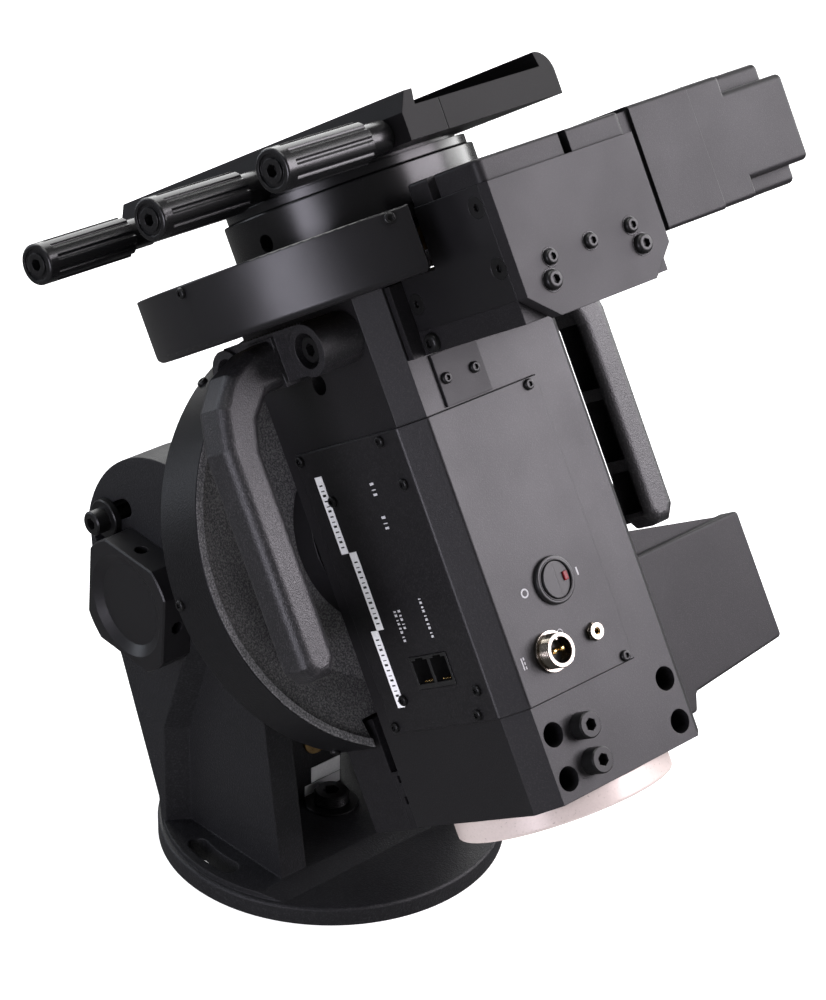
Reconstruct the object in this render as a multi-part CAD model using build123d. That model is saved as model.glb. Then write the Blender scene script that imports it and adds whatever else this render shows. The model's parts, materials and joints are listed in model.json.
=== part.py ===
from build123d import *
import os
from math import cos, radians, sin

# Computerised German equatorial mount head.
# +Z up, +X towards the pole side, +Y along the altitude axis, origin under the base disc.
# Head parts are drawn in head axes: x along the right ascension (RA) axis,
# y across the head, z along the declination (DEC) axis, and are then placed by HEAD.

ALT_DEG = 30.78                      # latitude the head is set to
CROSS_X, CROSS_Z = 93.73, 231.48     # where the RA and DEC axes cross
PIVOT_X, PIVOT_Z = -50.8, 149.0      # altitude pivot
SADDLE_DEG = 8.56                    # DEC angle the saddle is turned to

BASE_R, BASE_H = 92.9, 10.3
REAR_H = 13.4                        # raised rear of the base disc
ARM_IN, ARM_WEB, ARM_OUT = 49.3, 66.0, 77.0
SLOT_R, SLOT_HALF = 46.5, 5.0        # lock bolt slot about the pivot
NUT_R, NUT_FLATS, NUT_OUT = 35.9, 61.0, 95.0
PIN_R = 15.0

BOX, BOX_CH = 56.0, 10.4             # DEC housing half width and corner chamfer
BOX_LO, BOX_HI = -140.9, 112.9
BORE_R, SHAFT_R = 27.0, 20.0
PANEL_T = 1.6
PANEL_LO, PANEL_HI = -92.8, 50.2
SKIN = BOX + PANEL_T                 # outer face of the control panel

DISC_R, DISC_LO, DISC_HI = 114.0, 112.9, 144.4
WHEEL_R = 84.2
WORM_OFF = 92.5                      # worm axis to wheel axis
DEC_WORM_D = 128.0
RA_WORM_R = -82.0
WORM_R, JOURNAL_R = 7.5, 5.0
FIT = 0.05                           # running fit on the radius

RA_DISC_R, RA_BACK, RA_LIP = 112.2, -93.8, -62.0
RA_DISH = -71.0                      # flat bottom of the dished RA cover
HOUSE_R, HOUSE_FRONT, HOUSE_REAR = 46.0, -119.0, -232.0
ALT_COS, ALT_SIN = cos(radians(ALT_DEG)), sin(radians(ALT_DEG))
PIVOT_R = (PIVOT_X - CROSS_X) * ALT_COS + (PIVOT_Z - CROSS_Z) * ALT_SIN
PIVOT_D = (CROSS_X - PIVOT_X) * ALT_SIN + (PIVOT_Z - CROSS_Z) * ALT_COS
LOCK_DEG = 138.5                     # where the lock bolt stands in its slot

RING_R, RING_LO, RING_HI = 63.0, 144.8, 163.5
SADDLE_LO, SADDLE_FLOOR, SADDLE_TOP = 169.9, 185.0, 192.2
SADDLE_HALF = 98.8
KNOB_D, KNOB_R, KNOB_PITCH = 176.2, 10.0, 83.0
KNOB_END, KNOB_NECK, JAW_OUT = -130.0, -73.0, -56.3

HEAD = Plane(
    origin=(CROSS_X, 0, CROSS_Z),
    x_dir=(ALT_COS, 0, ALT_SIN),
    z_dir=(-ALT_SIN, 0, ALT_COS),
).location
SADDLE = HEAD * Rot(0, 0, SADDLE_DEG)
HOUSE = HEAD * Pos(PIVOT_R, 0, PIVOT_D)


def block(x0, x1, y0, y1, z0, z1):
    """Box between two corners."""
    return Pos((x0 + x1) / 2, (y0 + y1) / 2, (z0 + z1) / 2) * Box(x1 - x0, y1 - y0, z1 - z0)


def rod_x(radius, x0, x1, y=0.0, z=0.0):
    return Pos((x0 + x1) / 2, y, z) * Rot(0, 90, 0) * Cylinder(radius, abs(x1 - x0))


def rod_y(radius, y0, y1, x=0.0, z=0.0):
    return Pos(x, (y0 + y1) / 2, z) * Rot(90, 0, 0) * Cylinder(radius, abs(y1 - y0))


def rod_z(radius, z0, z1, x=0.0, y=0.0):
    return Pos(x, y, (z0 + z1) / 2) * Cylinder(radius, z1 - z0)


def face_at(x, y, z, normal):
    """Place whose local z points along the outward normal."""
    return Plane(origin=(x, y, z), z_dir=normal).location


FRONT, LEFT, RIGHT, TOP = (1, 0, 0), (0, -1, 0), (0, 1, 0), (0, 0, 1)


def slab_xz(points, y0, y1):
    """Outline in x, z pulled from y0 to y1."""
    face = Plane.XZ * make_face(Polyline(*points, close=True))
    return Pos(0, y0, 0) * extrude(face, amount=-(y1 - y0))


def slab_yz(points, x0, x1):
    """Outline in y, z pulled from x0 to x1."""
    face = Plane.YZ * make_face(Polyline(*points, close=True))
    return Pos(x0, 0, 0) * extrude(face, amount=x1 - x0)


def slab_xy(points, z0, z1):
    """Outline in x, y pulled from z0 to z1."""
    return Pos(0, 0, z0) * extrude(make_face(Polyline(*points, close=True)), amount=z1 - z0)


def mirror_y(shape):
    return mirror(shape, about=Plane.XZ)


def screw(head_r, head_h, shank_r, length, button=True):
    """Hex socket screw seated on z = 0."""
    head = rod_z(head_r, 0, head_h)
    rim = head.edges().group_by(Axis.Z)[-1]
    head = fillet(rim, head_h * 0.55) if button else chamfer(rim, head_h * 0.08)
    socket = Pos(0, 0, head_h * 0.4) * extrude(RegularPolygon(head_r * 0.5, 6), amount=head_h)
    return head + rod_z(shank_r, -length, 0) - socket


def set_of(shape, places):
    """The same fastener at several places."""
    return Compound([place * shape for place in places])


def drill(host, places, radius, depth):
    for place in places:
        host -= place * rod_z(radius, -depth, 2.0)
    return host


# ---------------------------------------------------------------- base and arms

def arm_outline():
    """Side outline of one arm, x and z about the origin."""
    low = Polyline((-48, 6), (36, 6), (36, 14), (23, 102), (18.5, 160))
    nose = RadiusArc((18.5, 160), (-6.6, 203.3), -70)
    crown = Polyline((-6.6, 203.3), (-37.6, 228.6))
    lobe = ThreePointArc((-37.6, 228.6), (-81, 211.6), (-103, 176))
    rear = Polyline((-103, 176), (-101, 150), (-79, 99), (-50.6, 26), (-48, 6))
    return make_face([*low.edges(), *nose.edges(), *crown.edges(), *lobe.edges(), *rear.edges()])


def arc_slot(centre_x, centre_z, radius, half, start, end, y0, y1):
    """Curved slot about an axis along y."""
    ring = rod_y(radius + half, y0, y1) - rod_y(radius - half, y0 - 1, y1 + 1)
    reach = 3 * radius
    wedge = [(0, 0)]
    for step in range(5):
        turn = radians(start + (end - start) * step / 4)
        wedge.append((reach * cos(turn), reach * sin(turn)))
    cut = ring & slab_xz(wedge, y0 - 1, y1 + 1)
    for turn in (radians(start), radians(end)):
        cut += rod_y(half, y0, y1, radius * cos(turn), radius * sin(turn))
    return Pos(centre_x, 0, centre_z) * cut


def flange_ramp():
    """Sloping front of the flange, following its edge up the arm."""
    sections = []
    for x, z in ((-45, 6), (-45, 71), (-27.6, 120), (-8, 150)):
        wedge = make_face(Polyline((x, ARM_WEB), (x + 7.5, ARM_WEB), (x, ARM_OUT), close=True))
        sections.append(Pos(0, 0, z) * wedge)
    return loft(sections, ruled=True)


def one_arm():
    """Arm on the +Y side: flat web with a thick rear flange and top lobe."""
    outline = Plane.XZ * arm_outline()
    web = Pos(0, ARM_IN, 0) * extrude(outline, amount=-(ARM_WEB - ARM_IN))
    thick = Pos(0, ARM_IN, 0) * extrude(outline, amount=-(ARM_OUT - ARM_IN))
    flange = slab_xz([(-110, 0), (-45, 0), (-45, 71), (-27.6, 120), (-8, 150),
                      (-8, 240), (-110, 240)], ARM_IN, ARM_OUT)
    arm = web + (thick & flange) + flange_ramp()
    arm -= rod_y(PIN_R + FIT, ARM_IN - 2, ARM_OUT + 2, PIVOT_X, PIVOT_Z)
    arm -= arc_slot(PIVOT_X, PIVOT_Z, SLOT_R, SLOT_HALF, 117, 160, ARM_IN - 2, ARM_OUT + 2)
    return arm


def azimuth_slot(side):
    """Curved slot in the base disc outside one arm."""
    ring = rod_z(80 + 5.3, -1, 20) - rod_z(80 - 5.3, -2, 21)
    sector = [(0, 0)]
    for turn in (-102, -92.5, -83):
        sector.append((200 * cos(radians(turn)), 200 * sin(radians(turn))))
    slot = ring & slab_xy(sector, -1, 20)
    for turn in (-102, -83):
        slot += rod_z(5.3, -1, 20, 80 * cos(radians(turn)), 80 * sin(radians(turn)))
    return slot if side < 0 else mirror_y(slot)


def base_yoke():
    disc = rod_z(BASE_R, 0, BASE_H)
    disc = fillet(disc.edges().group_by(Axis.Z)[-1], 1.6)
    step = slab_xz([(-95, 5), (49.5, 5), (49.5, BASE_H), (37.3, REAR_H), (-95, REAR_H)], -95, 95)
    raised = step & rod_z(BASE_R - 2.4, 0, REAR_H)
    arm = one_arm()
    yoke = disc + raised + arm + mirror_y(arm)
    for side in (-1, 1):
        yoke -= azimuth_slot(side)
    yoke -= rod_z(5.3, -1, 20)
    return yoke


def center_bolt():
    return Pos(0, 0, REAR_H) * screw(9.0, 8.0, 5.0, REAR_H, button=False)


def altitude_block():
    """Worm carrier between the arms, slotted for the altitude sector."""
    body = block(-84, -12, -20, 20, REAR_H, 60)
    body = chamfer(body.edges().filter_by(Axis.Z), 3)
    body -= block(-81, -20, -6, 6, 41, 61)
    body -= rod_x(8.0, -90, 0, 0, 49)
    return body


def altitude_bushes():
    """Front and rear bushes of the altitude worm."""
    bushes = []
    for x0, x1 in ((-24, -11.5), (-85, -82)):
        bushes.append(rod_x(7.9, x0, x1, 0, 49) - rod_x(4 + FIT, x0 - 1, x1 + 1, 0, 49))
    return Compound(bushes)


def altitude_worm():
    worm = rod_x(6.5, -76, -26, 0, 49)
    worm += rod_x(4.0, -92, -8, 0, 49)
    socket = Plane(origin=(-92, 0, 49), z_dir=(-1, 0, 0)) * RegularPolygon(2.9, 6)
    return worm - extrude(socket, amount=-7)


# ---------------------------------------------------------------- RA housing, about the pivot

def ra_housing():
    """Tube between the arms, drawn about the pivot."""
    front, rear = HOUSE_FRONT - PIVOT_R, HOUSE_REAR - PIVOT_R
    body = rod_x(HOUSE_R, rear, front, 0, -PIVOT_D)
    body += rod_y(30, -48.9, 48.9)
    turn = radians(LOCK_DEG - ALT_DEG)
    lug_x, lug_z = SLOT_R * cos(turn), SLOT_R * sin(turn)
    for side in (-1, 1):
        body += rod_y(13, side * 28, side * 48.9, lug_x, lug_z)
        body += block(lug_x - 13, lug_x + 13, *sorted((side * 28, side * 48.9)), 0, lug_z)
    body += rod_x(38.0, front, RA_BACK - PIVOT_R + 4.4, 0, -PIVOT_D)
    body -= rod_x(SHAFT_R + 8, rear - 1, front + 30, 0, -PIVOT_D)
    for side in (-1, 1):
        body -= rod_y(4.1, side * 36, side * 50, lug_x, lug_z)
        body -= rod_y(PIN_R - 3, side * 44, side * 50)
    return body


def ra_rear_cap():
    rear = HOUSE_REAR - PIVOT_R
    cap = rod_x(44.0, rear - 8, rear, 0, -PIVOT_D)
    return fillet(cap.edges().sort_by(Axis.X)[0], 2.5)


def pivot_pins():
    """Threaded pins from the housing out through the arms."""
    pins = []
    for side in (-1, 1):
        pin = rod_y(PIN_R, side * 48.9, side * (NUT_OUT - 6))
        pins.append(pin + rod_y(PIN_R - 3.05, side * 44.5, side * 48.9))
    return Compound(pins)


def altitude_sector():
    """Toothed sector under the housing, meshing with the altitude worm."""
    ring = rod_y(93, -5, 5) - rod_y(42, -6, 6)
    spread = [(0, 0), (-69.5, -107), (69.5, -107)]
    turn = Rot(0, ALT_DEG, 0)
    sector = ring & slab_xz(spread, -7, 7)
    tube = Rot(0, -ALT_DEG, 0) * rod_x(HOUSE_R, -100, 100, 0, -PIVOT_D)
    pins = rod_y(30, -10, 10)
    return turn * (sector - tube - pins)


def pivot_nut():
    """Large turned nut with four flats on the +Y side, drawn about the pivot."""
    nut = rod_y(NUT_R, ARM_OUT + 0.2, NUT_OUT)
    square = Pos(0, 86, 0) * Rot(0, 5, 0) * Box(NUT_FLATS, 30, NUT_FLATS)
    nut = nut & square
    nut = chamfer(nut.faces().sort_by(Axis.Y)[-1].edges(), 0.8)
    nut -= Pos(0, NUT_OUT - 1.5, 0) * Rot(90, 0, 0) * Cone(27.5, 22.0, 3.0)
    nut -= rod_y(PIN_R + FIT, ARM_OUT - 1, NUT_OUT - 5)
    for turn in (5, 95, 185, 275):
        nut -= Rot(0, turn, 0) * rod_x(3.4, 22, 40, 86)
    return nut


def altitude_lock_bolt():
    """Cap screw and thick washer in the arm slot, +Y side, at the bolt's own axis."""
    washer = rod_y(10.4, ARM_OUT + 0.3, 81)
    washer = chamfer(washer.edges().sort_by(Axis.Y)[-1], 0.6)
    head = rod_y(6.5, 81, 89)
    head = chamfer(head.edges().sort_by(Axis.Y)[-1], 0.8)
    shank = rod_y(4.0, 36.5, 84)
    socket = Plane(origin=(0, 89, 0), z_dir=(0, 1, 0)) * RegularPolygon(3.4, 6)
    return washer + head + shank - extrude(socket, amount=-6)


# ---------------------------------------------------------------- DEC housing and its panel

PANEL_SCREWS = [face_at(SKIN, w, d, FRONT) for w, d in ((16.6, 46.8), (17.4, -89.7))]
PANEL_SCREWS += [
    face_at(r, -SKIN, d, LEFT)
    for r, d in ((-32.4, 46.7), (32.4, 46.1), (38.8, 24.2), (-18.3, 24.4),
                 (38.7, -77.3), (33.2, -89.0), (-18.6, -76.6), (-32.2, -89.2))
]
END_CAP_SCREWS = [face_at(BOX, -21, d, FRONT) for d in (-110.5, -128.0)]
CABLE_SCREWS = [face_at(BOX + 1.4, w, d, FRONT) for w, d in ((-28.6, 63.7), (-10.7, 63.7))]
ROCKER_AT = (-8.5, -42.5)
ROCKER_PIVOT, ROCKER_TILT = 1.4, 7.0
POWER_AT = (-24.5, -72.4)
SNAP_AT = (4.0, -72.7)
JACKS = (-3.7, 25.5, -73.0, -56.5)


def dec_housing():
    body = block(-BOX, BOX, -BOX, BOX, BOX_LO, BOX_HI)
    body = chamfer(body.edges().filter_by(Axis.Z), BOX_CH)
    body -= rod_z(BORE_R, BOX_LO - 1, BOX_HI + 1)
    body -= block(36, 60, -42, 19, -85, 44)
    body -= block(-30, 42, -60, -36, -85, 44)
    for w in (-37.8, 37.8):
        for d in (-108.6, -130.5):
            body -= rod_x(5.9, 42, 60, w, d)
    for side in (-1, 1):
        body -= rod_y(5.0, side * 44, side * 60, 0, 79.3)
        for r in (-32.5, 32.5):
            body -= rod_y(4.1, side * 38, side * 60, r, 97)
    body = drill(body, END_CAP_SCREWS, 4.1, 17)
    body = drill(body, CABLE_SCREWS, 1.6, 8)
    return drill(body, PANEL_SCREWS, 1.6, 8)


def control_panel():
    """Sheet wrapped over the front, the chamfer and the left side."""
    bend = BOX_CH + (SKIN - BOX) * 0.414
    outline = [(SKIN, 22.8), (SKIN, -SKIN + bend), (SKIN - bend, -SKIN), (-36, -SKIN), (-36, -BOX),
               (BOX - BOX_CH, -BOX), (BOX, -BOX + BOX_CH), (BOX, 22.8)]
    panel = slab_xy(outline, PANEL_LO, PANEL_HI)
    bends = [e for e in panel.edges().filter_by(Axis.Z) if e.center().X > 40 and e.center().Y < -40]
    outer = [e for e in bends if e.center().X > SKIN - 0.1 or e.center().Y < -SKIN + 0.1]
    panel = fillet(outer, 2.2)
    ends = [e for e in panel.edges().filter_by(Axis.Y) if e.center().X > SKIN - 0.1]
    ends += [e for e in panel.edges().filter_by(Axis.X) if e.center().Y < -SKIN + 0.1]
    panel = chamfer(ends, 0.5)
    panel = drill(panel, PANEL_SCREWS, 1.6, 4)
    panel -= rod_x(9.8, 50, 60, *ROCKER_AT)
    panel -= rod_x(7.6, 50, 60, *POWER_AT)
    panel -= rod_x(3.4, 50, 60, *SNAP_AT)
    r0, r1, d0, d1 = JACKS
    return panel - block(r0, r1, -60, -50, d0, d1)


def cable_cover():
    return drill(block(BOX, BOX + 1.4, -32.8, -4.5, 50.9, 76), CABLE_SCREWS, 1.6, 3)


def rocker_bezel():
    w, d = ROCKER_AT
    ring = rod_x(11.6, SKIN, SKIN + 2.4, w, d)
    ring = fillet(ring.edges().sort_by(Axis.X)[-1], 0.9)
    body = rod_x(9.7, 46.5, SKIN, w, d)
    return ring + body - rod_x(9.2, 48, 62, w, d)


def rocker():
    """Paddle that tips about an axis along z."""
    w, d = ROCKER_AT
    paddle = rod_x(8.8, -0.8, 1.2) + block(-6.5, -0.8, -5, 5, -6, 6) + rod_z(1.3, -7.5, 7.5)
    return Pos(SKIN + ROCKER_PIVOT, w, d) * Rot(0, 0, ROCKER_TILT) * paddle


def power_connector():
    w, d = POWER_AT
    body = rod_x(8.0, SKIN, SKIN + 8.5, w, d) + rod_x(9.8, SKIN, SKIN + 2, w, d)
    body += rod_x(7.5, 46.5, SKIN, w, d)
    body -= rod_x(6.3, SKIN + 1, SKIN + 9, w, d)
    for side in (-2.4, 2.4):
        body += rod_x(1.0, SKIN, SKIN + 6.5, w + side, d)
    return body


def snap_jack():
    w, d = SNAP_AT
    body = rod_x(4.0, SKIN, SKIN + 3.2, w, d) + rod_x(3.3, 47, SKIN, w, d)
    return body - rod_x(1.8, 50, SKIN + 4, w, d)


def rj_jacks():
    r0, r1, d0, d1 = JACKS
    body = block(r0 + 0.2, r1 - 0.2, -SKIN - 0.4, -38, d0 + 0.2, d1 - 0.2)
    middle = (r0 + r1) / 2
    for r in (r0 + 1.6, middle + 1.0):
        body -= block(r, r + 12, -60, -46, d0 + 2.6, d1 - 2.0)
        body -= block(r + 3, r + 9, -60, -46, d1 - 2.2, d1 - 1.0)
    return body


def circuit_board():
    return block(43.5, 45.1, -33, 16, -83, 40)


def dish_hollow():
    """Space in the front of the RA cover: a short lip, then a shallow cone."""
    cone = Pos(RA_DISH + 3.8, 0, 0) * Rot(0, 90, 0) * Cone(78, 107.8, 7.6)
    return cone + rod_x(107.8, RA_DISH + 7.6, RA_LIP + 1)


def handle():
    """Carrying handle on the -Y side: two bosses, a grip and a leg back to the RA disc."""
    plate = block(-32.5, 32.5, -78, -60, 86, 110)
    body = plate + block(-12, 9, -80, -60, 84, 108)
    for r in (-32.5, 32.5):
        body += rod_y(12.5, -80, -BOX, r, 97)
    path = [(-72, 108), (-92, 106), (-108, 99), (-119, 86), (-124, 66), (-124, -40), (-119, -47),
            (-109, -47), (-104, -40), (-104, 60), (-100, 74), (-90, 84), (-72, 86)]
    grip = slab_yz(path, -13, 9)
    grip = fillet(grip.edges().filter_by(Axis.X, reverse=True), 6)
    leg = slab_xy([(2, -117), (-9, -120), (-66, -84), (-72, -80), (-72, -58), (-66, -62),
                   (-11, -106), (2, -106)], -43, -22)
    leg -= rod_x(RA_DISC_R, RA_BACK, RA_LIP) - dish_hollow()
    body = body + grip + leg
    for low, high in ((28, 62), (-10, 22), (-38, -16)):
        body -= block(-9, 5, -116, -100, low, high)
    for r in (-32.5, 32.5):
        body -= rod_y(8.5, -81, -70, r, 97)
        body -= rod_y(4.2, -81, -50, r, 97)
    return body


def handle_bolts():
    bolt = screw(6.5, 8.0, 4.0, 28, button=False)
    places = [face_at(r, -70, 97, LEFT) for r in (-32.5, 32.5)]
    places += [face_at(r, 70, 97, RIGHT) for r in (-32.5, 32.5)]
    return set_of(bolt, places)


# ---------------------------------------------------------------- DEC drive

def rim_places(radius, height, first, count, spread):
    """Places round a rim, facing outwards, axis z."""
    return [
        Rot(0, 0, first + spread * i) * face_at(radius, 0, height, FRONT) for i in range(count)
    ]


DEC_RIM = rim_places(DISC_R, 140.8, -88.4, 1, 60) + rim_places(DISC_R, 140.8, -148.4, 3, -60)
DEC_RIM += rim_places(DISC_R, 140.8, -31.8, 1, 60)
BEARING_SCREWS = [
    face_at(r, -36.6, d, LEFT) for r, d in ((127.1, 132.3), (128.1, 103.8), (65.2, 100.3))
]
SILL_SCREW = [face_at(67.9, -36.6, 81.6, LEFT)]
COVER_SCREWS = [
    face_at(140, w, d, FRONT) for w, d in ((-16.7, 101.2), (8.8, 101.7), (34.7, 102.0))
]
COVER_BOLTS = [face_at(140, w, d, FRONT) for w, d in ((-20, 91.4), (37.9, 92.3))]


def dec_gear_cover():
    """Deep cup over the worm wheel, open below, cut back for the worm block."""
    cup = rod_z(DISC_R, DISC_LO, DISC_HI)
    cup = fillet(cup.edges().group_by(Axis.Z)[0], 3.5)
    cup = fillet(cup.edges().group_by(Axis.Z)[-1], 0.8)
    cavity = rod_z(109, DISC_LO - 1, 138)
    cavity -= block(80, 125, -55.7, -37, 110, 140)
    cavity -= block(80, 125, 37, 120, 110, 140)
    cup -= cavity
    cup -= rod_z(46, 130, 150)
    cup -= block(84, 125, -51.7, 125, 110, 150)
    return drill(cup, DEC_RIM, 1.6, 8)


def dec_worm_wheel():
    return rod_z(WHEEL_R, 122.5, 133.5) - rod_z(SHAFT_R, 120, 140)


def dec_shaft():
    """Hollow shaft with the saddle hub on top and the weight bar thread below."""
    shaft = rod_z(SHAFT_R, BOX_LO - 0.4, 136)
    shaft += rod_z(44, 136, SADDLE_LO)
    shaft += rod_z(60.5, RING_HI + 0.4, 168.2) + rod_z(56, 168.2, SADDLE_LO)
    return shaft - rod_z(12, BOX_LO - 1, -110)


def dec_bearing(low):
    return rod_z(BORE_R - 0.02, low, low + 12) - rod_z(SHAFT_R + FIT, low - 1, low + 13)


def dec_clutch_ring():
    ring = rod_z(RING_R, RING_LO, RING_HI)
    ring = fillet(ring.edges().group_by(Axis.Z)[-1], 0.8)
    ring -= rod_z(44 + FIT, RING_LO - 1, RING_HI + 1)
    for turn in (-83.4, 96.6):
        ring -= Rot(0, 0, turn) * rod_x(4.2, 50, 70, 0, 149.6)
    return ring


def dec_worm_block():
    lower = block(BOX + 0.1, 133.0, -33.6, 54.5, 76.8, 112.6)
    upper = block(86, 133.0, -33.6, 54.5, 112.6, 141.8)
    sill = block(BOX + 0.1, 133.0, -36.6, -33.6, 76.8, 87.9)
    strip = block(56.3, 59.8, -44.5, -33.6, 77, 112)
    body = lower + upper + sill + strip
    body -= rod_y(8.4, -40, 60, WORM_OFF, DEC_WORM_D)
    body = drill(body, BEARING_SCREWS, 2.1, 14)
    body = drill(body, SILL_SCREW, 2.6, 14)
    body = drill(body, COVER_SCREWS, 2.1, 18)
    return drill(body, COVER_BOLTS, 2.6, 22)


def dec_bearing_plate():
    plate = block(56.1, 133.0, -36.6, -33.6, 87.9, 112.6) + block(86, 133, -36.6, -33.6, 112, 141.8)
    plate -= block(50, 60, -40, -30, 80, 113)
    for place in BEARING_SCREWS:
        plate -= place * Pos(0, 0, -1.45) * Cone(2.2, 5.35, 3.1)
    return plate


def dec_worm_cap():
    cap = block(84.6, 137, -36.6, 54.5, 141.8, 152.4)
    cap = fillet(cap.edges().filter_by(Axis.Z), 4)
    cap = fillet(cap.edges().group_by(Axis.Z)[-1], 1.5)
    cap -= block(101, 107, -40, -30, 140, 155)
    return cap - block(132, 140, 14, 19, 140, 155)


def dec_cover_plate():
    outline = [(-36.6, 141.8), (-36.6, 87.8), (-21.2, 75.4), (39.8, 75.4), (54.5, 89), (54.5, 141.8)]
    plate = slab_yz(outline, 133.1, 140)
    plate = drill(plate, COVER_SCREWS, 2.1, 8)
    return drill(plate, COVER_BOLTS, 2.6, 8)


def flush_screw():
    """Countersunk hex socket screw, its head flush at z = 0."""
    body = Pos(0, 0, -1.5) * Cone(2.1, 5.2, 3.0) + rod_z(2.0, -12, -3)
    return body - Pos(0, 0, -1.8) * extrude(RegularPolygon(1.9, 6), amount=3)


def worm_cover_screws():
    """Screws of the bearing plate and the front cover plate."""
    medium = set_of(screw(3.6, 2.4, 2.0, 11), COVER_SCREWS)
    large = set_of(screw(4.6, 3.2, 2.5, 12), COVER_BOLTS + SILL_SCREW)
    flush = set_of(flush_screw(), BEARING_SCREWS)
    return Compound([*medium.solids(), *large.solids(), *flush.solids()])


def dec_motor_cover():
    """Cast cover between the worm block and the motor end cover."""
    neck = block(86, 133, 55.0, 62, 95.5, 151.6)
    cover = block(86, 135, 62, 100.8, 93.6, 153.5)
    cover = fillet(cover.edges().filter_by(Axis.Y), 2)
    cover += neck
    return cover - block(89, 132, 58, 97.8, 98, 149) - rod_y(7, 50, 105, WORM_OFF, DEC_WORM_D)


def rounded_y(x0, x1, y0, y1, z0, z1, radius):
    """Box with rounded long edges and a rounded far end along y."""
    body = block(x0, x1, y0, y1, z0, z1)
    body = fillet(body.edges().filter_by(Axis.Y), radius)
    return fillet(body.faces().sort_by(Axis.Y)[-1].edges(), radius * 0.8)


def dec_motor_end_cover():
    """End cover with stepped long edges."""
    cover = rounded_y(66, 134, 101.2, 124, 94, 153.8, 2.5)
    cover += rounded_y(66, 134, 101.2, 165, 102.5, 145.5, 3)
    cover += rounded_y(74, 126, 101.2, 159.5, 94, 153.8, 3)
    cover -= block(76, 124, 104.2, 157, 104.5, 143.5)
    return cover - rod_y(7, 100, 106, WORM_OFF, DEC_WORM_D)


def worm(axis_x, axis_z, tail):
    """Worm with journals, along y, thread centred on y = 0."""
    body = rod_y(WORM_R, -16, 16, axis_x, axis_z)
    body = chamfer(body.edges().group_by(Axis.Y)[0] + body.edges().group_by(Axis.Y)[-1], 1.5)
    return body + rod_y(JOURNAL_R, -32, tail, axis_x, axis_z)


def worm_bushes():
    bush = rod_y(8.2, -4, 4) - rod_y(JOURNAL_R + FIT, -5, 5)
    places = [Pos(WORM_OFF, y, DEC_WORM_D) for y in (-27, 48)]
    places += [Pos(RA_WORM_R, y, -WORM_OFF) for y in (-27, 48)]
    return set_of(bush, places)


def motor(radius, y0, y1, axis_x, axis_z):
    body = rod_y(radius, y0, y1, axis_x, axis_z)
    return chamfer(body.edges().sort_by(Axis.Y)[-1], 2)


def weight_ring():
    ring = rod_z(55, -152.5, BOX_LO - 0.4)
    ring = fillet(ring.edges().group_by(Axis.Z)[0], 1.5)
    return ring - rod_z(12, -155, -140)


# ---------------------------------------------------------------- saddle and clamp

def saddle_plate():
    outline = [(-29.8, SADDLE_LO), (54.6, SADDLE_LO), (54.6, SADDLE_TOP), (42.7, SADDLE_TOP),
               (44.6, SADDLE_FLOOR), (-29.8, SADDLE_FLOOR)]
    plate = slab_yz(outline, -SADDLE_HALF, SADDLE_HALF)
    long_edges = plate.edges().filter_by(Axis.X)
    plate = fillet([e for e in long_edges if e.center().Y > 54 and e.center().Z > 190], 11.5)
    for x in (-KNOB_PITCH, 0, KNOB_PITCH):
        plate -= rod_y(5.0 + FIT, -31, -6, x, KNOB_D)
    for x, y in ((-20, -12), (20, -12), (-20, 30), (20, 30)):
        plate -= rod_z(3.2, 160, 190, x, y) + rod_z(5.6, 179, 190, x, y)
    return plate


def saddle_bolts():
    bolt = screw(5.4, 5.5, 3.0, 9, button=False)
    places = [Pos(x, y, 179) for x, y in ((-20, -12), (20, -12), (-20, 30), (20, 30))]
    return set_of(bolt, places)


def clamp_jaw():
    outline = [(-30.2, SADDLE_LO), (JAW_OUT, SADDLE_LO), (JAW_OUT, 183), (-50.5, SADDLE_TOP),
               (-44.9, SADDLE_TOP), (-46.4, SADDLE_FLOOR), (-30.2, SADDLE_FLOOR)]
    jaw = slab_yz(outline, -SADDLE_HALF, SADDLE_HALF)
    for x in (-KNOB_PITCH, 0, KNOB_PITCH):
        jaw -= rod_y(5.0 + FIT, -60, -20, x, KNOB_D)
    return jaw


def clamp_knob():
    """Fluted knob with its screw, axis along y through the origin."""
    grip = rod_y(KNOB_R, KNOB_END, KNOB_NECK)
    grip = fillet(grip.edges().sort_by(Axis.Y)[0], 1.2)
    for turn in range(10):
        angle = radians(36 * turn)
        grip -= rod_y(1.5, KNOB_END + 6, KNOB_NECK + 1, 10.6 * cos(angle), 10.6 * sin(angle))
    grip -= rod_y(7.6, KNOB_END - 1, KNOB_END + 1.2) - rod_y(5.6, KNOB_END - 2, KNOB_END + 2)
    grip += rod_y(7.5, KNOB_NECK, JAW_OUT - 0.3)
    grip += rod_y(5.0, JAW_OUT - 0.3, -10)
    socket = Plane(origin=(0, KNOB_END, 0), z_dir=(0, -1, 0)) * RegularPolygon(3.2, 6)
    return grip - extrude(socket, amount=-5)


# ---------------------------------------------------------------- RA drive

RA_RIM = [
    Rot(turn, 0, 0) * face_at(-90, 0, RA_DISC_R, TOP) for turn in (30, 90, 150, -30, -90)
]


def ra_gear_cover():
    """Dished cup round the RA wheel, cut back for the worm block."""
    cup = rod_x(RA_DISC_R, RA_BACK, RA_LIP)
    cup = fillet(cup.edges().group_by(Axis.X)[-1], 1.0)
    cup -= dish_hollow()
    cup -= rod_x(106, RA_BACK + 4, RA_DISH - 3)
    cup -= rod_x(40, RA_BACK - 1, RA_BACK + 5)
    cup -= rod_x(30, RA_DISH - 5, RA_DISH + 5)
    cup -= block(-100, -50, -51.7, 120, -120, -84.4)
    return drill(cup, RA_RIM, 1.6, 8)


def ra_worm_wheel():
    return rod_x(WHEEL_R, -87, -75) - rod_x(SHAFT_R + 8, -90, -70)


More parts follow.
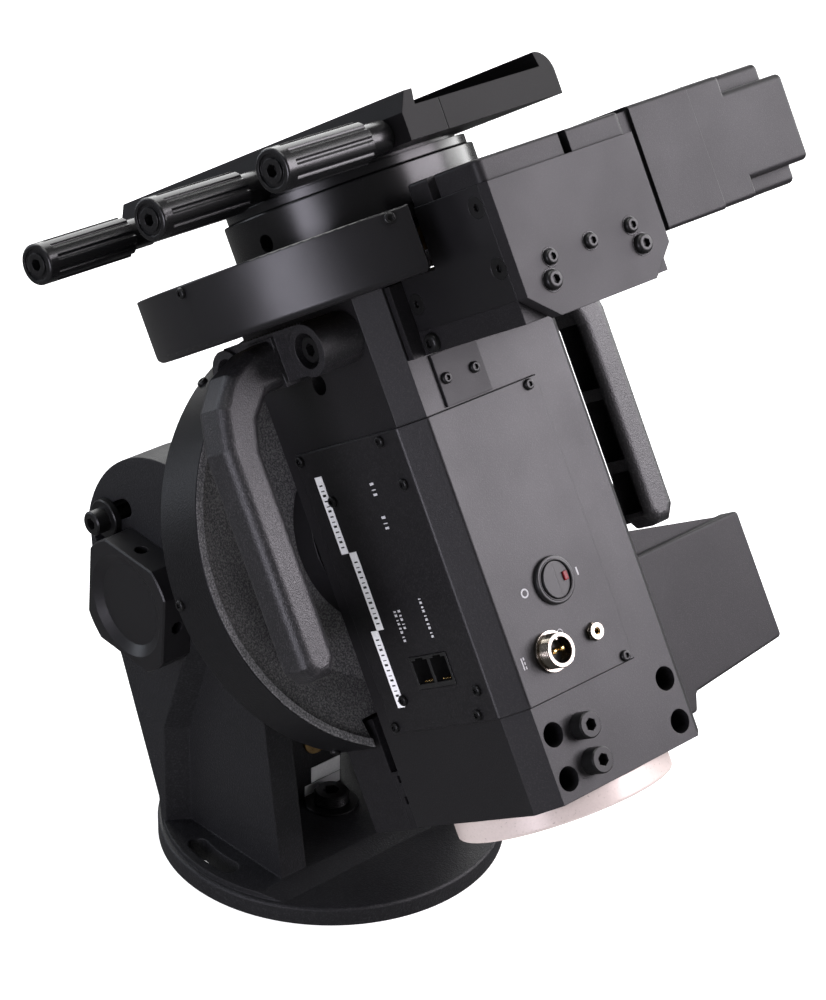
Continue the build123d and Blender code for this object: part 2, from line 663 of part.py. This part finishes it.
def ra_shaft():
    shaft = rod_x(SHAFT_R, -224, RA_DISH)
    return shaft + rod_x(50, RA_DISH, -BOX)


def ra_bearing(low):
    return rod_x(SHAFT_R + 7.98, low, low + 12) - rod_x(SHAFT_R + FIT, low - 1, low + 13)


def ra_clutch_ring():
    ring = rod_x(HOUSE_R, -112.2, RA_BACK - 0.8)
    ring -= rod_x(38 + FIT, -113, -90)
    for turn in range(6):
        ring -= Rot(60 * turn + 30, 0, 0) * rod_z(4.0, 41, 50, -103.5)
    return ring


def ra_worm_block():
    body = block(-92, -62.6, -48, 87.5, -144, -86)
    body -= rod_y(8.4, -44, 90, RA_WORM_R, -WORM_OFF)
    return body


def ra_worm_cap():
    cap = block(-62.5, -56.3, -48, 87.5, -144, -114)
    return cap - block(-59, -50, -50, -43, -131, -127) - block(-59, -50, -50, -43, -120, -116)


def ra_motor_cover():
    front = slab_yz([(88, -67), (221, -67), (222, -140), (151, -146.3), (147, -156), (88, -156)],
                    -66, -54.3)
    rear = slab_yz([(88, -54), (150, -54), (218, -68), (219, -138), (151, -144), (88, -144)],
                   -100, -62)
    front = fillet(front.edges().filter_by(Axis.X), 2.5)
    front = fillet(front.faces().sort_by(Axis.X)[-1].edges(), 1.5)
    rear = fillet(rear.edges().filter_by(Axis.X), 2.5)
    cover = front + rear
    cover -= block(-97, -58, 91, 214, -134, -71) + rod_x(RA_DISC_R + 0.8, -101, -50)
    return cover - rod_y(7, 80, 100, RA_WORM_R, -WORM_OFF)


# ---------------------------------------------------------------- parts written out

def base_parts():
    plain = {
        "base_yoke": base_yoke(),
        "center_bolt": center_bolt(),
        "altitude_block": altitude_block(),
        "altitude_bushes": altitude_bushes(),
        "altitude_worm": altitude_worm(),
    }
    return plain


def housing_parts():
    nut = Pos(PIVOT_X, 0, PIVOT_Z) * pivot_nut()
    angle = radians(LOCK_DEG)
    bolt_x, bolt_z = PIVOT_X + SLOT_R * cos(angle), PIVOT_Z + SLOT_R * sin(angle)
    bolt = Pos(bolt_x, 0, bolt_z) * altitude_lock_bolt()
    about_pivot = {
        "ra_housing": ra_housing(),
        "ra_rear_cap": ra_rear_cap(),
        "pivot_pins": pivot_pins(),
        "altitude_sector": altitude_sector(),
    }
    parts = {name: HOUSE * shape for name, shape in about_pivot.items()}
    parts["pivot_nut_left"] = mirror_y(nut)
    parts["pivot_nut_right"] = nut
    parts["altitude_lock_bolt_left"] = mirror_y(bolt)
    parts["altitude_lock_bolt_right"] = bolt
    return parts


def head_parts():
    small = screw(2.75, 1.8, 1.5, 6)
    drawn = {
        "dec_housing": dec_housing(),
        "control_panel": control_panel(),
        "cable_cover": cable_cover(),
        "circuit_board": circuit_board(),
        "rocker_bezel": rocker_bezel(),
        "rocker": rocker(),
        "power_connector": power_connector(),
        "snap_jack": snap_jack(),
        "rj_jacks": rj_jacks(),
        "handle_left": handle(),
        "handle_right": mirror_y(handle()),
        "handle_bolts": handle_bolts(),
        "small_screws": set_of(small, PANEL_SCREWS + CABLE_SCREWS + DEC_RIM + RA_RIM),
        "end_cap_screws": set_of(screw(6.5, 8.0, 4.0, 15, button=False), END_CAP_SCREWS),
        "dec_gear_cover": dec_gear_cover(),
        "dec_worm_wheel": dec_worm_wheel(),
        "dec_shaft": dec_shaft(),
        "dec_bearings": Compound([dec_bearing(-130), dec_bearing(96)]),
        "dec_clutch_ring": dec_clutch_ring(),
        "dec_worm_block": dec_worm_block(),
        "dec_bearing_plate": dec_bearing_plate(),
        "dec_worm_cap": dec_worm_cap(),
        "dec_cover_plate": dec_cover_plate(),
        "worm_cover_screws": worm_cover_screws(),
        "dec_motor_cover": dec_motor_cover(),
        "dec_motor_end_cover": dec_motor_end_cover(),
        "dec_worm": worm(WORM_OFF, DEC_WORM_D, 106.5),
        "worm_bushes": worm_bushes(),
        "dec_motor": motor(15, 107, 152, WORM_OFF, DEC_WORM_D),
        "weight_ring": weight_ring(),
        "ra_gear_cover": ra_gear_cover(),
        "ra_worm_wheel": ra_worm_wheel(),
        "ra_shaft": ra_shaft(),
        "ra_bearings": Compound([ra_bearing(-222), ra_bearing(-112)]),
        "ra_clutch_ring": ra_clutch_ring(),
        "ra_worm_block": ra_worm_block(),
        "ra_worm_cap": ra_worm_cap(),
        "ra_worm": worm(RA_WORM_R, -WORM_OFF, 107.5),
        "ra_motor": motor(14, 108, 168, RA_WORM_R, -WORM_OFF),
        "ra_motor_cover": ra_motor_cover(),
    }
    return {name: HEAD * shape for name, shape in drawn.items()}


def saddle_parts():
    knob = clamp_knob()
    drawn = {
        "saddle_plate": saddle_plate(),
        "saddle_bolts": saddle_bolts(),
        "clamp_jaw": clamp_jaw(),
    }
    for number, x in enumerate((-KNOB_PITCH, 0, KNOB_PITCH), start=1):
        drawn[f"clamp_knob_{number}"] = Pos(x, 0, KNOB_D) * knob
    return {name: SADDLE * shape for name, shape in drawn.items()}


os.makedirs("parts", exist_ok=True)
for group in (base_parts(), housing_parts(), head_parts(), saddle_parts()):
    for part_name, part_shape in group.items():
        export_step(part_shape, f"parts/{part_name}.step")
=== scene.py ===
import json
import math

import bmesh
import bpy
from mathutils import Matrix, Vector


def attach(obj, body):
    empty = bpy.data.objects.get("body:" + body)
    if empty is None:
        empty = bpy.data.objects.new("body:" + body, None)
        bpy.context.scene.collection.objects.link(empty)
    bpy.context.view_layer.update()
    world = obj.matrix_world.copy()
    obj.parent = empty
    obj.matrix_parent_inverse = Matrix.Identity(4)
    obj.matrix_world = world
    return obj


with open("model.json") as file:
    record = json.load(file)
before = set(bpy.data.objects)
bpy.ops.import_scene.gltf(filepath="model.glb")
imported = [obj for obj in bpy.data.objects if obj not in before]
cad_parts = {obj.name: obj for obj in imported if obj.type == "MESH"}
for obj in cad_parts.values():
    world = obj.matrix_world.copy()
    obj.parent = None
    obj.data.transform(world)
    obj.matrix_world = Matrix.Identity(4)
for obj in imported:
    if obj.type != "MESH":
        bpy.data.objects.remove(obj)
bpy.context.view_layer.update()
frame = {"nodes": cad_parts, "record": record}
NODES = frame["nodes"]

JOINTS = {joint["name"]: joint for joint in frame["record"]["behaviour"]["joints"]}

# Head axes: R along the RA axis, W across, D along the DEC axis, from where they cross.
R_AXIS = Vector(JOINTS["ra_axis"]["axis"]).normalized()
W_AXIS = Vector((0, 1, 0))
D_AXIS = Vector(JOINTS["dec_axis"]["axis"]).normalized()
CROSSING = Vector(JOINTS["dec_axis"]["pos_m"])
HEAD = Matrix.Translation(CROSSING) @ Matrix((R_AXIS, W_AXIS, D_AXIS)).transposed().to_4x4()
OBJECT = Matrix.Identity(4)

# Places in mm along the head axes.
SKIN = 57.6                    # front face in R and left face in -W
SINK = 0.02                    # how far printed marks start below the skin
COVER_FACE = 140.0             # front of the DEC cover plate
SWITCH = (-8.5, -42.5)         # W and D of the rocker switch
PLUG = (-24.5, -72.4)          # W and D of the power connector
SNAP = (4.0, -72.7)            # W and D of the snap jack
BLOCK_FACE = -12.0             # front of the altitude block, along the object's own X


# ---------------------------------------------------------------- materials

def material(name, color, rough, metallic=0.0, specular=0.5):
    mat = bpy.data.materials.new(name)
    mat.use_nodes = True
    shader = mat.node_tree.nodes["Principled BSDF"]
    shader.inputs["Base Color"].default_value = (*color, 1)
    shader.inputs["Roughness"].default_value = rough
    shader.inputs["Metallic"].default_value = metallic
    shader.inputs["Specular IOR Level"].default_value = specular
    return mat, shader


def noise(mat, scale, detail=4.0, rough=0.6, stretch=None):
    """Noise in object space; stretch scales the three axes."""
    tree = mat.node_tree
    coords = tree.nodes.new("ShaderNodeTexCoord")
    tex = tree.nodes.new("ShaderNodeTexNoise")
    tex.inputs["Scale"].default_value = scale
    tex.inputs["Detail"].default_value = detail
    tex.inputs["Roughness"].default_value = rough
    source = coords.outputs["Object"]
    if stretch:
        mapping = tree.nodes.new("ShaderNodeMapping")
        mapping.inputs["Scale"].default_value = stretch
        tree.links.new(source, mapping.inputs["Vector"])
        source = mapping.outputs["Vector"]
    tree.links.new(source, tex.inputs["Vector"])
    return tex.outputs["Fac"]


def span(mat, source, low, high, start=0.3, end=0.7):
    node = mat.node_tree.nodes.new("ShaderNodeMapRange")
    node.inputs["From Min"].default_value = start
    node.inputs["From Max"].default_value = end
    node.inputs["To Min"].default_value = low
    node.inputs["To Max"].default_value = high
    mat.node_tree.links.new(source, node.inputs["Value"])
    return node.outputs["Result"]


def tint(mat, source, stops):
    """Colour ramp over a source, stops as (position, colour)."""
    node = mat.node_tree.nodes.new("ShaderNodeValToRGB")
    elements = node.color_ramp.elements
    while len(elements) < len(stops):
        elements.new(0.5)
    for element, (position, color) in zip(elements, stops):
        element.position = position
        element.color = (*color, 1)
    mat.node_tree.links.new(source, node.inputs["Fac"])
    return node.outputs["Color"]


def relief(mat, shader, source, strength, distance, edge):
    """Grain bump over softly rounded edges."""
    tree = mat.node_tree
    rounded = tree.nodes.new("ShaderNodeBevel")
    rounded.samples = 4
    rounded.inputs["Radius"].default_value = edge
    node = tree.nodes.new("ShaderNodeBump")
    node.inputs["Strength"].default_value = strength
    node.inputs["Distance"].default_value = distance
    tree.links.new(source, node.inputs["Height"])
    tree.links.new(rounded.outputs["Normal"], node.inputs["Normal"])
    tree.links.new(node.outputs["Normal"], shader.inputs["Normal"])


def wire(mat, source, shader, socket):
    mat.node_tree.links.new(source, shader.inputs[socket])


def coat(name, dark, fleck, rough, grain, depth, specular, strength, edge=0.0006):
    """Coat with flecks, sheen between two roughnesses, and a grain that is depth metres deep."""
    mat, shader = material(name, dark, rough[0], 0.0, specular)
    fine = noise(mat, grain, 2.5, 0.65)
    broad = noise(mat, 24.0, 3.0)
    wire(mat, tint(mat, fine, [(0.5, dark), (0.68, fleck)]), shader, "Base Color")
    wire(mat, span(mat, broad, rough[0], rough[1]), shader, "Roughness")
    relief(mat, shader, fine, strength, depth, edge)
    return mat


def turned(name, dark, light, rough, metallic, stretch):
    """Turned or brushed metal: fine streaks in colour and sheen."""
    mat, shader = material(name, light, rough, metallic)
    streak = noise(mat, 1.0, 3.0, 0.6, stretch)
    wire(mat, tint(mat, streak, [(0.3, dark), (0.7, light)]), shader, "Base Color")
    wire(mat, span(mat, streak, rough * 0.75, rough * 1.3), shader, "Roughness")
    relief(mat, shader, streak, 0.12, 0.00006, 0.0003)
    return mat


CAST = coat("cast_black", dark=(0.0085, 0.0085, 0.0097), fleck=(0.024, 0.0235, 0.026), rough=(0.40, 0.50),
            grain=1100, depth=0.0005, specular=0.4, strength=0.6)
GRIP = coat("grip_black", dark=(0.008, 0.0078, 0.0088), fleck=(0.034, 0.032, 0.034), rough=(0.36, 0.44),
            grain=1200, depth=0.0004, specular=0.5, strength=0.65)
YOKE = coat("yoke_black", dark=(0.0065, 0.0065, 0.0075), fleck=(0.018, 0.018, 0.020), rough=(0.44, 0.56),
            grain=1000, depth=0.0005, specular=0.35, strength=0.6, edge=0.0012)
FINE = coat("fine_black", dark=(0.008, 0.0075, 0.0084), fleck=(0.018, 0.017, 0.0185), rough=(0.40, 0.48),
            grain=1700, depth=0.0002, specular=0.22, strength=0.4)
ANODISED = coat("anodised_black", dark=(0.0062, 0.0059, 0.0066), fleck=(0.0105, 0.010, 0.011),
                rough=(0.30, 0.38), grain=2600, depth=0.00007, specular=0.42, strength=0.3)
SATIN = coat("satin_black", dark=(0.0045, 0.0045, 0.0048), fleck=(0.009, 0.0088, 0.009), rough=(0.22, 0.28),
             grain=2600, depth=0.00004, specular=0.42, strength=0.2)
PANEL = coat("panel_black", dark=(0.0072, 0.0068, 0.0075), fleck=(0.018, 0.017, 0.018), rough=(0.38, 0.45),
             grain=1500, depth=0.00015, specular=0.36, strength=0.4, edge=0.0005)
PLATE = coat("plate_black", dark=(0.010, 0.0093, 0.0103), fleck=(0.017, 0.016, 0.0175), rough=(0.40, 0.48),
             grain=2200, depth=0.00008, specular=0.24, strength=0.3)
STEEL_BLACK = coat("black_steel", dark=(0.005, 0.005, 0.005), fleck=(0.010, 0.010, 0.010), rough=(0.32, 0.4),
                   grain=1200, depth=0.00003, specular=0.3, strength=0.2, edge=0.0003)
PLASTIC = coat("black_plastic", dark=(0.010, 0.010, 0.010), fleck=(0.020, 0.020, 0.020), rough=(0.3, 0.38),
               grain=2000, depth=0.00004, specular=0.35, strength=0.2)
CHAMPAGNE = turned("champagne", dark=(0.55, 0.475, 0.44), light=(0.60, 0.52, 0.485),
                   rough=0.35, metallic=0.25, stretch=(900, 900, 900))
BARE = turned("bare_steel", dark=(0.42, 0.42, 0.43), light=(0.56, 0.56, 0.57),
              rough=0.3, metallic=1.0, stretch=(400, 40, 400))
BRONZE = turned("bronze", dark=(0.45, 0.30, 0.12), light=(0.66, 0.46, 0.2),
                rough=0.32, metallic=1.0, stretch=(300, 300, 300))
NICKEL = turned("nickel", dark=(0.28, 0.25, 0.21), light=(0.40, 0.36, 0.31),
                rough=0.2, metallic=1.0, stretch=(900, 900, 900))
GOLD = turned("gold", dark=(0.75, 0.48, 0.16), light=(0.95, 0.68, 0.28),
              rough=0.18, metallic=1.0, stretch=(900, 900, 900))
SADDLE = coat("saddle_black", dark=(0.0045, 0.0042, 0.0045), fleck=(0.009, 0.0085, 0.009), rough=(0.34, 0.42),
              grain=2600, depth=0.00004, specular=0.06, strength=0.25)
CIRCUIT = coat("circuit", dark=(0.01, 0.09, 0.03), fleck=(0.02, 0.14, 0.05), rough=(0.4, 0.5),
               grain=300, depth=0.0001, specular=0.4, strength=0.2)
PAPER = coat("label_paper", dark=(0.72, 0.72, 0.73), fleck=(0.80, 0.80, 0.80), rough=(0.5, 0.6),
             grain=900, depth=0.00002, specular=0.3, strength=0.2)
INK = coat("white_ink", dark=(0.42, 0.42, 0.43), fleck=(0.52, 0.52, 0.53), rough=(0.5, 0.6),
           grain=900, depth=0.00002, specular=0.3, strength=0.2)
RED = coat("red_lens", dark=(0.13, 0.003, 0.005), fleck=(0.20, 0.004, 0.008), rough=(0.3, 0.4),
           grain=300, depth=0.00002, specular=0.3, strength=0.2)


def dish_look():
    """RA cover: smooth turned rim; the surfaces that face along the RA axis, toward the key light, get a
    grainy coat painted light grey, partly a real rougher coat and partly a painted highlight.
    """
    mat, shader = material("dish_black", (0.006, 0.006, 0.0065), 0.38, 0.0, 0.16)
    tree = mat.node_tree
    coords = tree.nodes.new("ShaderNodeTexCoord")
    along = tree.nodes.new("ShaderNodeVectorMath")
    along.operation = "DOT_PRODUCT"
    along.inputs[1].default_value = R_AXIS
    tree.links.new(coords.outputs["Normal"], along.inputs[0])
    # Mask of the faces turned along the RA axis, the side the key light falls on.
    key_lit_faces = span(mat, along.outputs["Value"], 0.0, 1.0, 0.75, 0.9)
    grain = noise(mat, 1100, 2.5, 0.65)
    # Grainy coat painted 0.07 to 0.24 grey on the key-lit faces: real grain, with its lightness a painted
    # highlight.
    coarse_painted_lit = tint(mat, grain, [(0.42, (0.07, 0.07, 0.071)), (0.68, (0.24, 0.235, 0.235))])
    smooth = tint(mat, grain, [(0.45, (0.0055, 0.0055, 0.006)), (0.7, (0.0095, 0.0092, 0.010))])
    blend = tree.nodes.new("ShaderNodeMix")
    blend.data_type = "RGBA"
    tree.links.new(key_lit_faces, blend.inputs[0])
    tree.links.new(smooth, blend.inputs[6])
    tree.links.new(coarse_painted_lit, blend.inputs[7])
    wire(mat, blend.outputs[2], shader, "Base Color")
    wire(mat, span(mat, key_lit_faces, 0.36, 0.5, 0.0, 1.0), shader, "Roughness")
    relief(mat, shader, grain, 0.5, 0.0003, 0.0006)
    return mat


DISH = dish_look()

SLOT_LOOK = {
    "cast_black": CAST, "anodised_black": ANODISED, "black_steel": STEEL_BLACK, "bare_steel": BARE,
    "bronze": BRONZE, "champagne": CHAMPAGNE, "nickel": NICKEL, "black_plastic": PLASTIC, "circuit": CIRCUIT,
}
NODE_LOOK = {
    "base_yoke": YOKE, "handle_left": GRIP, "handle_right": GRIP, "ra_gear_cover": DISH,
    "control_panel": PANEL, "dec_housing": PANEL, "cable_cover": PLATE, "dec_cover_plate": PLATE,
    "dec_worm_block": FINE, "dec_worm_cap": FINE, "dec_motor_cover": FINE, "dec_motor_end_cover": FINE,
    "ra_motor_cover": FINE, "ra_worm_block": FINE, "ra_worm_cap": FINE, "dec_shaft": SATIN,
    "ra_shaft": ANODISED, "dec_clutch_ring": SATIN, "clamp_jaw": SADDLE, "saddle_plate": SADDLE,
    "clamp_knob_1": SATIN, "clamp_knob_2": SATIN, "clamp_knob_3": SATIN,
}


def dress():
    """Gives every CAD node its material."""
    for entry in frame["record"]["subparts"]:
        obj = NODES[entry["node"]]
        look = NODE_LOOK.get(entry["node"], SLOT_LOOK[entry["material_slot"]])
        obj.data.materials.clear()
        obj.data.materials.append(look)


# ---------------------------------------------------------------- small pieces

def add(name, bm, mat, body):
    """Turns bm into a piece that rides a body and wears the given material."""
    mesh = bpy.data.meshes.new(name)
    bmesh.ops.remove_doubles(bm, verts=bm.verts, dist=1e-7)
    bmesh.ops.recalc_face_normals(bm, faces=bm.faces)
    bm.to_mesh(mesh)
    bm.free()
    obj = bpy.data.objects.new(name, mesh)
    bpy.context.scene.collection.objects.link(obj)
    mesh.materials.append(mat)
    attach(obj, body)
    return obj


def cuboid(bm, low, high, bevel, place):
    """Bevelled block between two corners in mm, added to bm."""
    made = bmesh.ops.create_cube(bm, size=1.0)["verts"]
    size = [(h - l) / 1000 for l, h in zip(low, high)]
    middle = [(h + l) / 2000 for l, h in zip(low, high)]
    bmesh.ops.scale(bm, vec=size, verts=made)
    bmesh.ops.translate(bm, vec=middle, verts=made)
    edges = list({edge for vert in made for edge in vert.link_edges})
    result = bmesh.ops.bevel(bm, geom=edges, offset=bevel / 1000, segments=2, affect="EDGES", profile=0.5)
    moved = {vert for vert in made if vert.is_valid} | set(result["verts"])
    bmesh.ops.transform(bm, matrix=place, verts=list(moved))


def block(name, low, high, mat, body, bevel):
    bm = bmesh.new()
    cuboid(bm, low, high, bevel, HEAD)
    return add(name, bm, mat, body)


# Turns Z onto each head axis before the head itself is placed.
AXIS_TURN = {"R": Matrix.Rotation(math.pi / 2, 4, "Y"), "W": Matrix.Rotation(-math.pi / 2, 4, "X"),
             "D": Matrix.Identity(4)}


def revolve(bm, centre, axis, profile, place, steps=40):
    """Closed outline of (radius, height) in mm turned about an axis through centre."""
    move = place @ Matrix.Translation(Vector(centre) / 1000) @ AXIS_TURN[axis]
    hoops = []
    for i in range(steps):
        angle = 2 * math.pi * i / steps
        hoop = [Vector((r * math.cos(angle), r * math.sin(angle), h)) / 1000 for r, h in profile]
        hoops.append([bm.verts.new(move @ point) for point in hoop])
    for i in range(steps):
        here, there = hoops[i], hoops[(i + 1) % steps]
        for k in range(len(profile)):
            other = (k + 1) % len(profile)
            if profile[k][0] == 0.0 and profile[other][0] == 0.0:
                continue
            bm.faces.new((here[k], there[k], there[other], here[other]))


def ring(name, centre, axis, profile, mat, body, place=HEAD, steps=40):
    bm = bmesh.new()
    revolve(bm, centre, axis, profile, place, steps)
    return add(name, bm, mat, body)


def band(inner, outer, low, high, soft=0.1):
    """Section of a flat ring with softened outer corners."""
    return [(inner, low), (outer, low), (outer, high - soft), (outer - soft, high), (inner + soft, high),
            (inner, high - soft)]


def left_mark(bm, r0, r1, d0, d1, lift=0.09):
    """Thin printed patch on the left face, between two places along R and D."""
    cuboid(bm, (r0, -SKIN - lift, d0), (r1, -SKIN + SINK, d1), 0.02, HEAD)


def front_mark(bm, w0, w1, d0, d1, lift=0.09):
    """Thin printed patch on the front face, between two places along W and D."""
    cuboid(bm, (SKIN - SINK, w0, d0), (SKIN + lift, w1, d1), 0.02, HEAD)


# R from and to, D from and to, of each label strip.
STRIPS = [(-26.4, -20.6, -1.5, 37.6), (-20.4, -14.6, -41.0, -1.4), (-25.2, -19.4, -80.0, -40.8)]

TICK_PITCH = 2.6


def labels():
    """White label strips down the left side of the panel, with plain tick marks."""
    white, ticks = bmesh.new(), bmesh.new()
    for r0, r1, d0, d1 in STRIPS:
        left_mark(white, r0, r1, d0, d1, 0.12)
        middle = (r0 + r1) / 2
        for i in range(int((d1 - d0 - 5) / TICK_PITCH)):
            low = d0 + 3 + TICK_PITCH * i
            left_mark(ticks, middle - 1.3, middle + 1.3, low, low + (0.7, 1.1, 0.5)[i % 3], 0.16)
    add("label_strips", white, PAPER, "head")
    add("label_ticks", ticks, PLASTIC, "head")


def tick_row(bm, r, d, count, pitch=2.1, height=1.9):
    """Row of short printed marks running along D on the left face."""
    for i in range(count):
        low = d - count * pitch / 2 + i * pitch
        left_mark(bm, r - height / 2, r + height / 2, low, low + (1.2, 0.6, 1.3, 0.9)[i % 4])


def printed_marks():
    """Generic printed signs: on bar, off ring, direct current, polarity and port rows."""
    left, front = bmesh.new(), bmesh.new()
    tick_row(left, 20.0, -38.6, 10)
    tick_row(left, 1.6, -37.4, 5)
    tick_row(left, -1.8, -40.4, 8)
    for d in (26.0, 9.4):
        tick_row(left, 15.0, d, 3, 2.6, 3.0)
    front_mark(front, 6.4, 7.4, -45.3, -41.3)
    revolve(front, (SKIN - SINK, -27.3, -42.6), "R", band(1.5, 2.3, 0.0, 0.12, 0.02), HEAD, 24)
    front_mark(front, -42.6, -41.9, -75.2, -69.4)
    for i in range(3):
        front_mark(front, -41.2, -40.5, -75.2 + 2.2 * i, -73.8 + 2.2 * i)
    for w, d in ((-15.2, -66.4), (-14.2, -79.4)):
        revolve(front, (SKIN - SINK, w, d), "R", band(1.5, 1.9, 0.0, 0.12, 0.02), HEAD, 24)
        front_mark(front, w - 0.8, w + 0.8, d - 0.2, d + 0.2)
    front_mark(front, -12.9, -12.5, -77.0, -69.0)
    front_mark(front, 7.4, 9.6, -76.0, -70.6)
    add("printed_marks_left", left, INK, "head")
    add("printed_marks_front", front, INK, "head")


def switch_details():
    """Red lamp window on the rocker and a raised rim round it."""
    block("rocker_lamp", (SKIN + 1.9, -3.9, -44.6), (SKIN + 3.0, -1.3, -40.2), RED,
          "rocker", 0.4)
    ring("switch_rim", (SKIN, *SWITCH), "R", band(9.3, 10.1, 2.0, 2.6, 0.2), PLASTIC, "head")


def plug_details():
    """Thread, insert, key and pins of the power connector, nut and contact of the snap jack."""
    w, d = PLUG
    bm = bmesh.new()
    for i in range(6):
        low = 2.3 + i
        revolve(bm, (SKIN, w, d), "R", [(7.9, low), (8.35, low + 0.5), (7.9, low + 1.0)], HEAD, 48)
    add("plug_thread", bm, NICKEL, "head")
    ring("plug_insert", (SKIN, w, d), "R", band(1.25, 6.25, 0.9, 1.6), PLASTIC, "head")
    block("plug_key", (SKIN + 1.0, w - 0.7, d + 4.9), (SKIN + 7.6, w + 0.7, d + 6.35), NICKEL,
          "head", 0.2)
    pins = bmesh.new()
    tip = [(0.0, 1.0), (1.25, 1.0), (1.25, 6.3), (0.9, 6.9), (0.0, 7.1)]
    for side in (-2.4, 2.4):
        revolve(pins, (SKIN, w + side, d), "R", tip, HEAD, 20)
    add("plug_pins", pins, GOLD, "head")
    ring("snap_nut", (SKIN, *SNAP), "R", band(3.9, 4.6, 0.0, 1.6, 0.3), NICKEL, "head", steps=6)
    ring("snap_contact", (SKIN, *SNAP), "R", band(1.5, 1.85, -6.0, 2.6, 0.1), GOLD, "head")


def jack_contacts():
    """Six gold contacts in each of the two modular jacks."""
    bm = bmesh.new()
    for start in (-2.1, 11.9):
        for i in range(6):
            r = start + 3.2 + 1.1 * i
            cuboid(bm, (r, -56.5, -69.8), (r + 0.45, -47.5, -69.3), 0.05, HEAD)
    add("jack_contacts", bm, GOLD, "head")


# W, D and recess radius of the cover plate screws.
COVER_SCREWS = [(-16.7, 101.2, 3.9), (8.8, 101.7, 3.9), (34.7, 102.0, 3.9), (-20, 91.4, 4.9),
                (37.9, 92.3, 4.9)]


def screw_rings():
    """Thin dark rims round the recesses of the cover plate screws."""
    bm = bmesh.new()
    for w, d, inner in COVER_SCREWS:
        revolve(bm, (COVER_FACE, w, d), "R", band(inner, inner + 0.7, -0.2, 0.25, 0.15), HEAD, 32)
    add("screw_rims", bm, SATIN, "head")


def base_details():
    """Washer and knurl of the centre bolt, blank plates and worm bush flange on the altitude block."""
    ring("bolt_washer", (0, 0, 13.4), "D", band(9.3, 14.5, 0.02, 1.4, 0.3), STEEL_BLACK,
         "base", OBJECT)
    coil = bmesh.new()
    for i in range(5):
        low = 15.2 + 1.1 * i
        revolve(coil, (0, 0, 0), "D", [(8.9, low), (9.35, low + 0.55), (8.9, low + 1.1)], OBJECT, 40)
    add("bolt_knurl", coil, STEEL_BLACK, "base")
    bm = bmesh.new()
    cuboid(bm, (BLOCK_FACE, -4, 21.5), (BLOCK_FACE + 0.4, 16.5, 31), 0.1, OBJECT)
    cuboid(bm, (BLOCK_FACE, -8.5, 14.5), (BLOCK_FACE + 0.3, 16.5, 21), 0.1, OBJECT)
    add("blank_plates", bm, PAPER, "base")
    ring("bush_flange", (BLOCK_FACE, 0, 49), "R", band(4.4, 9.4, 0.0, 1.2, 0.3), BRONZE,
         "base", OBJECT)


# ---------------------------------------------------------------- stage, light, camera

FLOOR_HALF = 40.0
MIDDLE = Vector((0.08, 0, 0.24))    # point that the lights aim at


def stage():
    """Pale floor that glows a little and stays out of mirror reflections, so black faces stay dark."""
    mesh = bpy.data.meshes.new("floor")
    bm = bmesh.new()
    bmesh.ops.create_grid(bm, x_segments=1, y_segments=1, size=FLOOR_HALF)
    bm.to_mesh(mesh)
    bm.free()
    floor = bpy.data.objects.new("floor", mesh)
    bpy.context.scene.collection.objects.link(floor)
    mat, shader = material("floor", (0.62, 0.62, 0.62), 0.8, 0.0, 0.0)
    shader.inputs["Emission Color"].default_value = (1, 1, 1, 1)
    shader.inputs["Emission Strength"].default_value = 0.8
    mesh.materials.append(mat)
    floor.visible_glossy = False


def area(name, toward, distance, size, power, color=(1, 1, 1), size_y=None):
    """Soft box seen from the middle of the object in the given direction."""
    data = bpy.data.lights.new(name, "AREA")
    data.shape = "RECTANGLE"
    data.size = size
    data.size_y = size_y or size
    data.energy = power
    data.color = color
    lamp = bpy.data.objects.new(name, data)
    bpy.context.scene.collection.objects.link(lamp)
    way = Vector(toward).normalized()
    lamp.location = MIDDLE + way * distance
    lamp.rotation_euler = (-way).to_track_quat("-Z", "Y").to_euler()


def studio():
    """Dim white surroundings and seven soft boxes."""
    world = bpy.data.worlds.new("studio")
    bpy.context.scene.world = world
    world.use_nodes = True
    world.node_tree.nodes["Background"].inputs["Color"].default_value = (1, 1, 1, 1)
    world.node_tree.nodes["Background"].inputs["Strength"].default_value = 0.13
    area("key_right", (0.71, 0.61, 0.50), 1.5, 1.0, 34, (0.98, 0.92, 1.0))
    area("key_left", (-0.25, -1.0, 0.75), 1.5, 0.8, 2, (0.80, 0.86, 1.0))
    area("front_left", (0.2, -0.95, 0.1), 1.3, 0.7, 10, (0.9, 0.87, 1.0), 0.5)
    area("rim_left", (-1.0, -0.55, 0.35), 1.5, 0.5, 6, (0.85, 0.9, 1.0), 1.2)
    area("top", (-0.1, 0.1, 1.0), 1.8, 1.2, 22)
    area("back", (-1.0, 0.5, 0.6), 1.6, 1.4, 20)
    area("back_right", (0.1, 1.0, 0.35), 1.6, 1.0, 22)


CAMERA_AT = Vector((1.02218, -0.90674, 0.92995))
CAMERA_AZIMUTH = math.radians(-43.2851)
CAMERA_ELEVATION = math.radians(28.1879)
CAMERA_ROLL = math.radians(1.0640)
CAMERA_LENS = 109.93


def camera():
    """Camera whose back points along the azimuth and elevation, rolled about its own line of sight."""
    data = bpy.data.cameras.new("camera")
    data.lens = CAMERA_LENS
    data.sensor_width = 36
    data.sensor_fit = "AUTO"
    cam = bpy.data.objects.new("camera", data)
    bpy.context.scene.collection.objects.link(cam)
    turn = (Matrix.Rotation(CAMERA_AZIMUTH + math.pi / 2, 4, "Z")
            @ Matrix.Rotation(math.pi / 2 - CAMERA_ELEVATION, 4, "X") @ Matrix.Rotation(CAMERA_ROLL, 4, "Z"))
    cam.matrix_world = Matrix.Translation(CAMERA_AT) @ turn
    bpy.context.scene.camera = cam
    bpy.context.scene.view_settings.view_transform = "Standard"


dress()
labels()
printed_marks()
switch_details()
plug_details()
jack_contacts()
screw_rings()
base_details()
stage()
studio()
camera()
